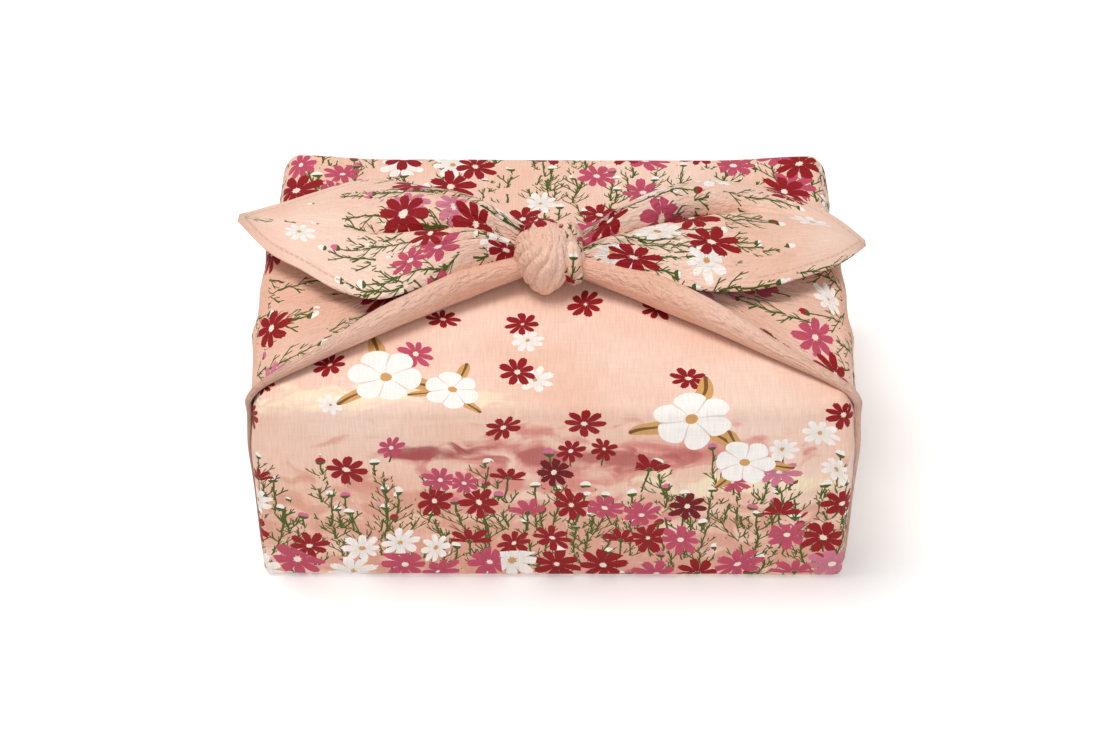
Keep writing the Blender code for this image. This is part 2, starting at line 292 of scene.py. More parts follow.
NO_HEM = 100.0
cloth_mesh = bmesh.new()
cloth_mesh.loops.layers.uv.new("print")
cloth_mesh.verts.layers.float.new("hem")
add_wrap(cloth_mesh, FINE_CELL, 0.0)

# The folded layers under it: the front corner lies over the top and down the back before the back
# corner comes over it, and the sides are folded in at the ends. They don't show.
HIDDEN_CELL = 24.0
HIDDEN_INSETS = (0.9, 1.8)
for inset in HIDDEN_INSETS:
    add_wrap(cloth_mesh, HIDDEN_CELL, inset, keep_bottom=inset == HIDDEN_INSETS[0])

# The arms: the two side corners of the cloth, drawn from under the box up over its ends, with the
# front edge of each rolled under itself into a soft rope that swells towards the knot.
# Each row: front edge x, y, z, back edge x, y, z, radius of the roll, pleat height
ARM_SECTIONS = {
    "under": (104.0, -71, 1.6, 104.0, 66, 1.6, 0.4, 0.0),
    "foot": (109.4, -73, 3.2, 109.6, 68, 3.2, 0.4, 0.1),
    "low": (110.6, -72.5, 10, 110.6, 67, 10, 0.45, 0.4),
    "middle": (110.6, -72.8, 45, 110.6, 52, 45, 0.5, 1.1),
    "high": (110.7, -73.5, 79, 110.7, 37, 79, 0.9, 1.3),
    "shoulder": (109.2, -73.5, 88.0, 109.2, 33, 88.0, 1.3, 1.0),
    "top_edge": (101.5, -67, 90.7, 101.5, 31.2, 90.7, 1.8, 1.0),
    "top_outer": (83.0, -54.5, 91.2, 80.0, 27, 91.4, 3.0, 1.8),
    "top_middle": (61.0, -40.5, 91.4, 56.0, 21, 92.4, 4.8, 2.6),
    "top_inner": (41.0, -27.8, 91.4, 36.0, 14, 94.0, 5.4, 3.2),
    "neck": (25.0, -18.4, 92.4, 22.0, 8, 96.0, 4.6, 3.0),
    "knot": (6.0, -9.5, 95.5, 6.0, 4, 98.5, 3.3, 2.0),
}
# Place across the arm from front to back, width, and share of the pleat height
ARM_PLEATS = {
    "second": (0.36, 0.06, 1.0),
    "third": (0.62, 0.08, 0.7),
    "fourth": (0.86, 0.07, 0.9),
}
# Near the knot each roll is fuller, and at the shoulder the cloth is slack and puffs out
ROLL_GAIN = 1.15
LEAST_FULL_ROLL = 2.0
SIDE_PUFF = {-1: 3.4, 1: 1.9}
PUFF_AT, PUFF_RUN, PUFF_ON_ROLL = 0.47, 0.11, 0.3
ARM_STEPS = 112
ARM_ACROSS = 50
ROLL_SHARE = 0.42
ROLL_START, ROLL_END = math.radians(320), math.radians(35)
ROLL_FALL, ROLL_CRUSH = 1.1, 0.06
WRINKLE_SPACING, WRINKLE_HEIGHT, WRINKLES_START = 5.2, 0.6, (0.48, 0.6)
ARM_PRINT = Vector((150, 720))
BARE_PRINT = 300.0
ARM_LENGTH = 215.0
ROLL_GIRTH = 25.0
ARM_WIDTH = 75.0


def arm_frame(share, side):
    """Front edge, back edge, outward direction, roll radius and pleat height of an arm."""
    fx, fy, fz, bx, by, bz, roll, pleat = smooth_row(ARM_SECTIONS, share)
    ahead = smooth_row(ARM_SECTIONS, share + 0.01)
    behind = smooth_row(ARM_SECTIONS, share - 0.01)
    along = Vector(ahead[i] + ahead[i + 3] - behind[i] - behind[i + 3] for i in range(3))
    along.x *= side
    front, back = Vector((side * fx, fy, fz)), Vector((side * bx, by, bz))
    out = (back - front).cross(along).normalized() * side
    return front, back, out, roll, pleat


def arm_point(share, t, side):
    """A point of an arm: t runs from under its roll, round it, and back to the arm's back edge."""
    front, back, out, roll, pleat = arm_frame(share, side)
    across = back - front
    width = across.length
    across.normalize()
    radius = roll * (1 + (ROLL_GAIN - 1) * ease(roll, LEAST_FULL_ROLL, 2 * LEAST_FULL_ROLL))
    centre = front + across * radius + out * (radius - CLOTH_THICKNESS)
    angle = ROLL_START + (ROLL_END - ROLL_START) * min(1.0, t / ROLL_SHARE)
    on_roll = centre + (across * math.cos(angle) + out * math.sin(angle)) * radius
    crush = 1 + ROLL_CRUSH * noise.noise(Vector((share * 14, t * 5, side * 3)))
    puff = Vector((side * SIDE_PUFF[side] * soft_bump(share - PUFF_AT, PUFF_RUN), 0, 0))
    if t <= ROLL_SHARE:
        point = centre + (on_roll - centre) * crush + puff * PUFF_ON_ROLL
        return point + Vector((side_slack(point.x, point.z), 0, 0))
    left = radius * (1 + math.cos(ROLL_END))
    rest = (t - ROLL_SHARE) / (1 - ROLL_SHARE)
    beyond = (width - left) * rest
    high = radius * (1 + math.sin(ROLL_END)) - CLOTH_THICKNESS
    height = high * math.exp(-beyond / (ROLL_FALL * radius))
    place = (left + beyond) / width
    height += pleat * sum(
        tall * soft_bump(place - at, wide) for at, wide, tall in ARM_PLEATS.values()
    )
    drift = noise.noise(Vector((share * 5, place * 3, side * 7)))
    ripple = math.sin(2 * math.pi * (place * width / WRINKLE_SPACING + drift))
    ripple *= ease(share, *WRINKLES_START) * min(1.0, beyond / 6) * (0.6 + drift)
    height += WRINKLE_HEIGHT * ripple
    puff *= PUFF_ON_ROLL + (1 - PUFF_ON_ROLL) * ease(rest, 0.0, 0.35)
    point = front + across * (left + beyond) + out * height + puff
    return point + Vector((side_slack(point.x, point.z), 0, 0))


def add_sheet(bm, along, across, place, print_at, hem_at, bare_to=0.0):
    """Adds a sheet of cloth from functions of the shares along and across it. Its faces up to
    bare_to across take a part of the print with no flowers."""
    made_verts = bmesh.ops.create_grid(bm, x_segments=along, y_segments=across, size=0.5)["verts"]
    shares = {v: (v.co.x + 0.5, v.co.y + 0.5) for v in made_verts}
    uv, hem = bm.loops.layers.uv["print"], bm.verts.layers.float["hem"]
    for face in {f for v in made_verts for f in v.link_faces}:
        bare = max(shares[v][1] for v in face.verts) <= bare_to
        for loop in face.loops:
            u, v = print_at(*shares[loop.vert])
            loop[uv].uv = Vector((u, v + BARE_PRINT * bare)) * MM
    for vert, (s, t) in shares.items():
        vert.co = place(s, t)
        vert[hem] = hem_at(s, t)


def arm_across(t):
    """How far across the print a point of an arm lies, from under its roll."""
    if t < ROLL_SHARE:
        return ROLL_GIRTH * t / ROLL_SHARE
    return ROLL_GIRTH + ARM_WIDTH * (t - ROLL_SHARE) / (1 - ROLL_SHARE)


for side in (1, -1):
    add_sheet(
        cloth_mesh,
        ARM_STEPS,
        ARM_ACROSS,
        lambda s, t, side=side: arm_point(s, t, side),
        lambda s, t, side=side: (side * ARM_PRINT.x + arm_across(t), ARM_PRINT.y + s * ARM_LENGTH),
        lambda s, t: NO_HEM,
        bare_to=ROLL_SHARE,
    )

# The free corners: the other two corners of the cloth, gathered in the knot in deep pleats and
# opening to a flat leaf with a pointed, hemmed tip that stands out past the box's side.
# Each row: x, front edge y and z, back edge y and z, crown
LEFT_TAIL = {
    "root": (-6, -6, 104.0, 2, 107.0, 2.0),
    "neck": (-20, -8.5, 105.0, 8, 110.5, 4.0),
    "gather": (-33, -14.5, 104.5, 19, 109.5, 6.0),
    "spread": (-48, -25, 104.0, 31, 105.5, 7.5),
    "widest": (-64, -32, 102.0, 41, 102.5, 7.0),
    "open": (-80, -25, 99.5, 43, 100.5, 5.5),
    "taper": (-96, -12, 98.5, 38, 99.0, 4.0),
    "point": (-110, 0, 98.0, 31, 98.5, 2.5),
    "tip": (-124, 20, 98.5, 24, 98.5, 0.5),
}
RIGHT_TAIL = {
    "root": (4, -8, 103.5, 0, 107.0, 2.0),
    "neck": (16, -11, 105.5, 3, 110.5, 3.5),
    "gather": (30, -17, 103.5, 15, 109.5, 5.5),
    "spread": (46, -23, 102.0, 30, 106.0, 7.0),
    "widest": (62, -26, 101.0, 39, 103.5, 7.5),
    "open": (80, -23, 100.0, 41, 101.5, 6.0),
    "taper": (97, -15, 100.0, 34, 100.0, 4.0),
    "point": (111, -6, 99.0, 23, 99.5, 2.5),
    "tip": (122, 5, 98.5, 9, 98.5, 0.5),
}
# The deep pleat of each corner: its place across at the root and where it fades, how far out it
# fades, how far its front layer laps over the back one, and how fully the two round up
LEFT_PLEAT = (0.46, 0.5, 0.6, 2.4, 6.5)
RIGHT_PLEAT = (0.54, 0.76, 0.74, 2.4, 6.0)
# Where the cloth dives between its rolls: place across at the knot and where the crease fades, how
# far out it fades, depth, half width
LEFT_CREASES = {
    "main": (0.46, 0.5, 0.72, 6.0, 1.3),
    "valley": (0.47, 0.51, 0.85, 5.0, 4.0),
    "edge": (0.0, 0.0, 0.5, 4.0, 1.6),
    "front": (0.19, 0.22, 0.42, 2.4, 0.9),
    "front_fine": (0.33, 0.34, 0.34, 1.6, 0.7),
    "back": (0.74, 0.82, 0.52, 3.0, 1.0),
    "back_fine": (0.6, 0.64, 0.36, 1.6, 0.7),
}
RIGHT_CREASES = {
    "main": (0.54, 0.76, 0.84, 6.0, 1.3),
    "valley": (0.55, 0.76, 0.95, 5.5, 4.2),
    "edge": (0.0, 0.0, 0.5, 4.0, 1.6),
    "front": (0.24, 0.3, 0.44, 2.6, 0.9),
    "front_fine": (0.4, 0.5, 0.36, 1.8, 0.7),
    "back": (0.8, 0.9, 0.5, 2.6, 0.9),
    "edge_fine": (0.1, 0.12, 0.3, 1.4, 0.7),
}
TAIL_STEPS = 84
TAIL_ACROSS = 66
TAIL_LENGTH = 125.0
TAIL_WIDTH = 75.0
TAIL_PRINT = Vector((200, 500))
# The stitched tips: where they start, how near their edge slants, and the cloth's own edge
HEM_FROM, HEM_SLANT, HEM_EDGE = 0.6, 0.75, 0.2
FRONT_PLUMPNESS, BACK_PLUMPNESS = 0.75, 1.1
CREPE_ENDS, FLUTTER_STARTS = (0.15, 0.7), (0.3, 0.7)
LAP_WIDTH = 0.07
CREPE_RIDGES, CREPE_HEIGHT = 9, 0.35
PLEAT_STEP, FLUTTER = 2.2, 1.3


def rounded(share):
    """A plump arch from nothing at 0 to nothing at 1."""
    return max(0.0, math.sin(math.pi * max(0.0, min(1.0, share)))) ** 0.8


def crease_depth(creases, s, t, width):
    """How deep the creases of a free corner are at a point of it."""
    depth = 0.0
    for start, end, fades, deep, half_width in creases.values():
        off = t - start - (end - start) * min(1.0, s / fades)
        depth += deep * (1 - ease(s, fades * 0.3, fades)) * soft_bump(off * width, half_width)
    return depth


def tail_point(table, pleat, creases, s, t):
    """A point of a free corner: s from the knot to its tip, t from its front edge to its back."""
    x, front_y, front_z, back_y, back_z, crown = smooth_row(table, s)
    start, end, fades, lap, plump = pleat
    fold = 1 - ease(s, fades * 0.35, fades)
    crease = start + (end - start) * min(1.0, s / fades)
    open_arch = math.sin(math.pi * t) ** 0.7 if 0 < t < 1 else 0.0
    if t < crease:
        folded_arch = FRONT_PLUMPNESS * rounded(t / crease)
    else:
        folded_arch = BACK_PLUMPNESS * rounded((t - crease) / (1 - crease))
    lift = crown * ((1 - fold) * open_arch + fold * folded_arch) + plump * fold * 0.3 * folded_arch
    lapped = lap * fold * (
        soft_bump(t - crease + LAP_WIDTH, LAP_WIDTH) - soft_bump(t - crease - LAP_WIDTH, LAP_WIDTH)
    )
    step = PLEAT_STEP * fold * ease(t, 0.0, crease - 0.06) * (1 - ease(t, crease - 0.03, crease + 0.04))
    sway = noise.noise(Vector((s * 3.1, t * 2.2, table["tip"][0] / 60)))
    ridges = math.sin(2 * math.pi * CREPE_RIDGES * (t + 0.03 * sway) + 5 * sway)
    crepe = CREPE_HEIGHT * ridges * (1 - ease(s, *CREPE_ENDS)) * open_arch
    flutter = FLUTTER * sway * ease(s, *FLUTTER_STARTS)
    y = front_y + (back_y - front_y) * t + lapped
    z = front_z + (back_z - front_z) * t + lift + step + crepe + flutter
    return Vector((x, y, z - crease_depth(creases, s, t, back_y - front_y)))


def tail_hem(table, s, t):
    """How far a point lies from the stitched edge, near the tip of a free corner."""
    if s < HEM_FROM:
        return NO_HEM
    _, front_y, _, back_y, _, _ = smooth_row(table, s)
    return min(t, 1 - t) * (back_y - front_y) * HEM_SLANT + HEM_EDGE


FREE_CORNERS = (
    (-1, LEFT_TAIL, LEFT_PLEAT, LEFT_CREASES),
    (1, RIGHT_TAIL, RIGHT_PLEAT, RIGHT_CREASES),
)
for side, table, pleat, creases in FREE_CORNERS:
    add_sheet(
        cloth_mesh,
        TAIL_STEPS,
        TAIL_ACROSS,
        lambda s, t, shape=(table, pleat, creases): tail_point(*shape, s, t),
        lambda s, t, side=side: (
            side * TAIL_PRINT.x + (t - 0.5) * TAIL_WIDTH,
            TAIL_PRINT.y + s * TAIL_LENGTH,
        ),
        lambda s, t, table=table: tail_hem(table, s, t),
    )

# The knot: the cloth's own corners turned once round each other and pulled tight. A broad band comes
# over the top, its pleats fanning out from the upper right down to a point, and two narrower turns
# lie beside it.
# Each turn: centre, radii, lean of its top to the left, where its pleats fan out from, how many,
# how far its point stands out, place on the print, and cells round and across
KNOT_TURNS = {
    "strap": ((-2.9, -5, 102.6), (12, 14.2, 12.8), 0, (0.42, -0.1, 0.9), 15, 2.4, (37, 466), (100, 76)),
    "upper_turn": ((6.4, -1.5, 106.6), (5.2, 7, 8.5), 2, (-0.2, -0.1, 0.95), 9, 0, (60, 560), (48, 36)),
    "lower_turn": ((7.8, -8, 101.2), (5, 9, 9.4), 0.8, (0.1, 0.1, 0.95), 9, 0, (90, 570), (52, 36)),
}
KNOT_PLEAT_HEIGHT = 1.9
KNOT_DRIFT = 1.3
KNOT_VALLEY_SHARPNESS, KNOT_PLEAT_LEVEL = 0.42, 0.7
KNOT_POINT = Vector((-0.04, -0.74, -0.66))
KNOT_POINT_SPREAD = 0.42


def add_knot_turn(bm, centre, radii, lean, gather, pleats, point_height, print_at, cells):
    """Adds one plump turn of the knot: a grid rolled up and closed, pleated from its gather."""
    grid = bmesh.ops.create_grid(bm, x_segments=cells[0], y_segments=cells[1], size=0.5)
    uv, hem = bm.loops.layers.uv["print"], bm.verts.layers.float["hem"]
    angles = {v: (v.co.x * 2 * math.pi, v.co.y * math.pi) for v in grid["verts"]}
    for face in {f for v in grid["verts"] for f in v.link_faces}:
        for loop in face.loops:
            around, across = angles[loop.vert]
            flat = (print_at[0] + across * radii[0], print_at[1] + around * radii[1])
            loop[uv].uv = Vector(flat) * MM
    pole = Vector(gather).normalized()
    level_a = pole.orthogonal().normalized()
    level_b = pole.cross(level_a)
    for vert, (around, across) in angles.items():
        ring = math.cos(across)
        out = Vector((math.sin(across), -math.cos(around) * ring, math.sin(around) * ring))
        turned = math.atan2(out.dot(level_b), out.dot(level_a))
        away = math.sqrt(max(0.0, 1 - out.dot(pole) ** 2))
        drift = noise.noise(out * 1.3 + Vector(centre))
        uneven = 0.85 + noise.noise(Vector((turned * 2, centre[0], 0.0)))
        ridge = abs(math.sin(pleats * turned / 2 + KNOT_DRIFT * drift)) ** KNOT_VALLEY_SHARPNESS
        tall = KNOT_PLEAT_HEIGHT * (ridge - KNOT_PLEAT_LEVEL) * away * uneven
        tall += point_height * soft_bump((out - KNOT_POINT).length, KNOT_POINT_SPREAD)
        point = Vector(c + (r + tall) * o for c, r, o in zip(centre, radii, out))
        vert.co = point - Vector((lean * out.z, 0, 0))
        vert[hem] = NO_HEM
    bmesh.ops.remove_doubles(bm, verts=grid["verts"], dist=0.001)
    turn = {f for v in grid["verts"] if v.is_valid for f in v.link_faces}
    bmesh.ops.recalc_face_normals(bm, faces=list(turn))


for turn in KNOT_TURNS.values():
    add_knot_turn(cloth_mesh, *turn)


def mesh_of(name, bm):
    """A mesh of a bmesh's shape. The bmesh is freed."""
    mesh = bpy.data.meshes.new(name)
    bm.to_mesh(mesh)
    bm.free()
    return mesh


def add_object(name, data):
    """Adds an object with this data to the scene."""
    added = bpy.data.objects.new(name, data)
    bpy.context.scene.collection.objects.link(added)
    return added


bmesh.ops.scale(cloth_mesh, vec=(MM, MM, MM), verts=cloth_mesh.verts)
furoshiki = add_object("furoshiki", mesh_of("furoshiki", cloth_mesh))
furoshiki.data.shade_smooth()
thickness = furoshiki.modifiers.new("cloth thickness", "SOLIDIFY")
thickness.thickness = CLOTH_THICKNESS * MM
thickness.offset = -1.0

# The print: cosmos flowers on thin feathery stems over a peach ground with soft rose clouds; the
# clouds under the top's front edge are partly painted shade. The flowers are a scatter of its own:
# heads of eight petals with toothed tips, one to a cell, over sprigs with thread-like leaves and
# buds, one to a tile. Sizes are in millimetres on the cloth.
HEAD_COLOURS = [
    (0.0, "#920a16"),
    (0.44, "#6e0610"),
    (0.5, "#c04c66"),
    (0.71, "#f6efe9"),
    (0.9, "#cf7a90"),
    (0.95, "#e0cfdb"),
]
HEART_COLOURS = [(0.0, "#f3e0cf"), (0.71, "#d19a5c"), (0.9, "#f1ddcf"), (0.95, "#cf9d64")]
LEAF_COLOUR = "#4a5a1a"
PETALS = 8
PETAL_MIDDLE, PETAL_REACH = 0.57, 0.43
PETAL_BASE_WIDTH, PETAL_WIDENING = 0.12, 0.14
SMALLEST_HEAD, HEAD_RANGE, MOST_TILT = 0.76, 0.3, 0.28
SHORTEST_PETAL, PETAL_RANGE = 0.93, 0.16
HEART_SHARE = 0.15
TOOTH_RATE, TOOTH_DEPTH = 44.0, 0.03
STREAK_RATE, STREAK_TONE = 80.0, 0.035
SIDE_BLOOMS = 0.84
CELL_SPREAD = 0.72
STEM_HALF_WIDTH = 0.36
STEM_BEND = 26.0
THREAD_HALF_WIDTH = 0.37
LEAF_PITCH = 5.2
LEAF_REACH = 7.5
LEAF_SLOPE, LEAF_STAGGER, BARE_TOP = 0.95, 1.3, 4.0
FORK_PITCH, FORK_REACH = 2.4, 2.8
BUD_RADIUS = 1.9
BED_HEIGHT = 75.0
PRINT_LENGTH = 1000.0
# How thickly the field is printed up the cloth: the wrap's back half, the free corners, the arms
FIELD_PLAN = [
    (0.0, 0.0),
    (0.176, 0.95),
    (0.43, 0.0),
    (0.483, 0.9),
    (0.565, 0.06),
    (0.7, 0.45),
    (0.82, 0.55),
    (0.88, 0.0),
]
VECTOR, XYZ, XYZ_OF = "ShaderNodeVectorMath", "ShaderNodeCombineXYZ", "ShaderNodeSeparateXYZ"
NOISE, RANGE, RAMP = "ShaderNodeTexNoise", "ShaderNodeMapRange", "ShaderNodeValToRGB"
MIX = ("ShaderNodeMix", {"data_type": "RGBA"})


def start_layer_group(name, inputs):
    """A node group that takes a place on the print and some numbers, and gives colour and mask."""
    group = bpy.data.node_groups.new(name, "ShaderNodeTree")
    group.interface.new_socket("Place", in_out="INPUT", socket_type="NodeSocketVector")
    for number in inputs:
        group.interface.new_socket(number, in_out="INPUT", socket_type="NodeSocketFloat")
    group.interface.new_socket("Colour", in_out="OUTPUT", socket_type="NodeSocketColor")
    group.interface.new_socket("Mask", in_out="OUTPUT", socket_type="NodeSocketFloat")
    return group


def chance_rows(up, row_chance):
    """The rows that give the chance that a cell is filled, from how far up the print it lies."""
    return {
        "above": ("GREATER_THAN", up, "in:Low"),
        "under": ("LESS_THAN", up, "in:High"),
        "in_rows": ("MULTIPLY", "above", "under"),
        "row_chance": ("MULTIPLY", "in_rows", row_chance),
        "plan_place": ("DIVIDE", up, PRINT_LENGTH),
        "plan": (RAMP, None, ("plan_place",)),
        "plan_chance": ("MULTIPLY", "plan:Alpha", "in:Field"),
        "chance": ("MAXIMUM", "row_chance", "plan_chance"),
    }


HEAD_INPUTS = tuple("Shift Cell Radius Taper Low High Chance Field Tint Spread".split())
heads = start_layer_group("cosmos heads", HEAD_INPUTS)
rows = {
    "in": ("NodeGroupInput",),
    "shift": (XYZ, None, ("in:Shift", "in:Shift", 0.0)),
    "shifted": (VECTOR, "ADD", ("in:Place", "shift")),
    "scale": ("DIVIDE", 1.0, "in:Cell"),
    "cells": (
        "ShaderNodeTexVoronoi",
        {"voronoi_dimensions": "2D"},
        {"Vector": "shifted", "Scale": "scale", "Randomness": CELL_SPREAD},
    ),
    "from_head": (VECTOR, "SUBTRACT", ("shifted", "cells:Position")),
    "from_head_xyz": (XYZ_OF, None, ("from_head",)),
    "centre": (VECTOR, "SUBTRACT", ("cells:Position", "shift")),
    "centre_xyz": (XYZ_OF, None, ("centre",)),
    "lucks": ("ShaderNodeSeparateColor", None, ("cells:Color",)),
    # Heads of a bed are larger and closer towards its foot
    "rise": (RANGE, None, ("centre_xyz:Y", 0.0, BED_HEIGHT, 0.0, 1.0)),
    "smaller": ("MULTIPLY", "rise", "in:Taper"),
    "bed_size": ("SUBTRACT", 1.0, "smaller"),
    "bed_chance": ("MULTIPLY", "bed_size", "in:Chance"),
    **chance_rows("centre_xyz:Y", "bed_chance"),
    "keep": ("LESS_THAN", "lucks:Red", "chance"),
    "any_size": ("MULTIPLY_ADD", "lucks:Green", HEAD_RANGE, SMALLEST_HEAD),
    "size": ("MULTIPLY", "any_size", "bed_size"),
    "radius": ("MULTIPLY", "size", "in:Radius"),
    # A side bloom is half a head that stands upright on its green cup. More random numbers come
    # from a cell's own, as the fractions of multiples of them
    "side_turns": ("MULTIPLY", "lucks:Blue", 23.1),
    "side_luck": ("FRACT", "side_turns"),
    "is_bed": ("GREATER_THAN", "in:Taper", 0.01),
    "lucky_side": ("GREATER_THAN", "side_luck", SIDE_BLOOMS),
    "is_side": ("MULTIPLY", "lucky_side", "is_bed"),
    "is_open": ("SUBTRACT", 1.0, "is_side"),
    "phase_turns": ("MULTIPLY", "lucks:Red", 13.7),
    "phase": ("FRACT", "phase_turns"),
    "any_turn": ("MULTIPLY", "phase", 2 * math.pi),
    "turn": ("MULTIPLY", "any_turn", "is_open"),
    "spun": ("ShaderNodeVectorRotate", {"rotation_type": "Z_AXIS"}, {0: "from_head", "Angle": "turn"}),
    "tilt_turns": ("MULTIPLY", "lucks:Green", 17.3),
    "tilt_luck": ("FRACT", "tilt_turns"),
    "tilt": ("MULTIPLY_ADD", "tilt_luck", -MOST_TILT, 1.0),
    "untilt": ("DIVIDE", 1.0, "tilt"),
    "lengthen": (XYZ, None, (1.0, "untilt", 1.0)),
    "on_head": (VECTOR, "MULTIPLY", ("spun", "lengthen")),
    "on_head_xyz": (XYZ_OF, None, ("on_head",)),
    "reach": (VECTOR, "LENGTH", ("on_head",)),
    "rho": ("DIVIDE", "reach:Value", "radius"),
    "angle": ("ARCTAN2", "on_head_xyz:Y", "on_head_xyz:X"),
    "eighth": ("MULTIPLY_ADD", "angle", PETALS / (2 * math.pi), "tilt_luck"),
    "petal": ("FLOOR", "eighth"),
    "within": ("FRACT", "eighth"),
    "off_axis": ("MULTIPLY_ADD", "within", 2 * math.pi / PETALS, -math.pi / PETALS),
    "petal_seed": ("MULTIPLY_ADD", "lucks:Blue", 97.0, "petal"),
    "petal_luck": ("ShaderNodeTexWhiteNoise", {"noise_dimensions": "1D"}, {"W": "petal_seed"}),
    "shorten": ("MULTIPLY_ADD", "petal_luck", PETAL_RANGE, SHORTEST_PETAL),
    "rho_petal": ("MULTIPLY", "rho", "shorten"),
    "cosine": ("COSINE", "off_axis"),
    "sine": ("SINE", "off_axis"),
    "across": ("MULTIPLY", "rho_petal", "sine"),
    "tooth_angle": ("MULTIPLY", "across", TOOTH_RATE),
    "tooth": ("COSINE", "tooth_angle"),
    "toothed": ("MULTIPLY_ADD", "tooth", -TOOTH_DEPTH, 1.0),
    "along_plain": ("MULTIPLY", "rho_petal", "cosine"),
    "along": ("MULTIPLY", "along_plain", "toothed"),
    "from_middle": ("SUBTRACT", "along", PETAL_MIDDLE),
    "long_share": ("DIVIDE", "from_middle", PETAL_REACH),
    "petal_width": ("MULTIPLY_ADD", "along", PETAL_WIDENING, PETAL_BASE_WIDTH),
    "wide_share": ("DIVIDE", "across", "petal_width"),
    "long_squared": ("POWER", "long_share", 2.0),
    "wide_squared": ("POWER", "wide_share", 2.0),
    "oval": ("ADD", "long_squared", "wide_squared"),
    "all_petals": ("LESS_THAN", "oval", 1.0),
    "upper": ("GREATER_THAN", "on_head_xyz:Y", -0.6),
    "shown": ("MAXIMUM", "upper", "is_open"),
    "petals": ("MULTIPLY", "all_petals", "shown"),
    "heart": ("LESS_THAN", "rho", HEART_SHARE),
    "head": ("MAXIMUM", "petals", "heart"),
    # The stem bends away under the head
    "drop_squared": ("POWER", "from_head_xyz:Y", 2.0),
    "bend": ("MULTIPLY_ADD", "phase", 0.04, -0.02),
    "stem_x": ("MULTIPLY_ADD", "drop_squared", "bend", "from_head_xyz:X"),
    "beside": ("ABSOLUTE", "stem_x"),
    "on_stem": ("LESS_THAN", "beside", STEM_HALF_WIDTH),
    "hangs": ("LESS_THAN", "from_head_xyz:Y", 0.0),
    "stem": ("MULTIPLY", "on_stem", "hangs"),
    "bed_stem": ("MULTIPLY", "stem", "is_bed"),
    # Colours: fine darker streaks along each petal, deeper towards the heart
    "tint": ("MULTIPLY_ADD", "lucks:Blue", "in:Spread", "in:Tint"),
    "petal_colours": (RAMP, None, ("tint",)),
    "heart_colours": (RAMP, None, ("tint",)),
    "cup": (*MIX, {0: "is_side", 6: "heart_colours", 7: LEAF_COLOUR}),
    "streak_angle": ("MULTIPLY", "across", STREAK_RATE),
    "streak": ("SINE", "streak_angle"),
    "streak_tone": ("MULTIPLY_ADD", "streak", STREAK_TONE, 0.85),
    "tone": ("MULTIPLY_ADD", "rho", 0.2, "streak_tone"),
    "petal_colour": ("ShaderNodeHueSaturation", None, {"Color": "petal_colours", "Value": "tone"}),
    "head_colour": (*MIX, {0: "heart", 6: "petal_colour", 7: "cup:2"}),
    "colour": (*MIX, {0: "head", 6: LEAF_COLOUR, 7: "head_colour:2"}),
    "drawn": ("MAXIMUM", "head", "bed_stem"),
    "mask": ("MULTIPLY", "drawn", "keep"),
    "out": ("NodeGroupOutput", None, ("colour:2", "mask")),
}
made = {}
add_nodes(heads, made, rows)
ramp_stops(made["plan"], FIELD_PLAN, "CONSTANT")
ramp_stops(made["petal_colours"], HEAD_COLOURS, "CONSTANT")
ramp_stops(made["heart_colours"], HEART_COLOURS, "CONSTANT")

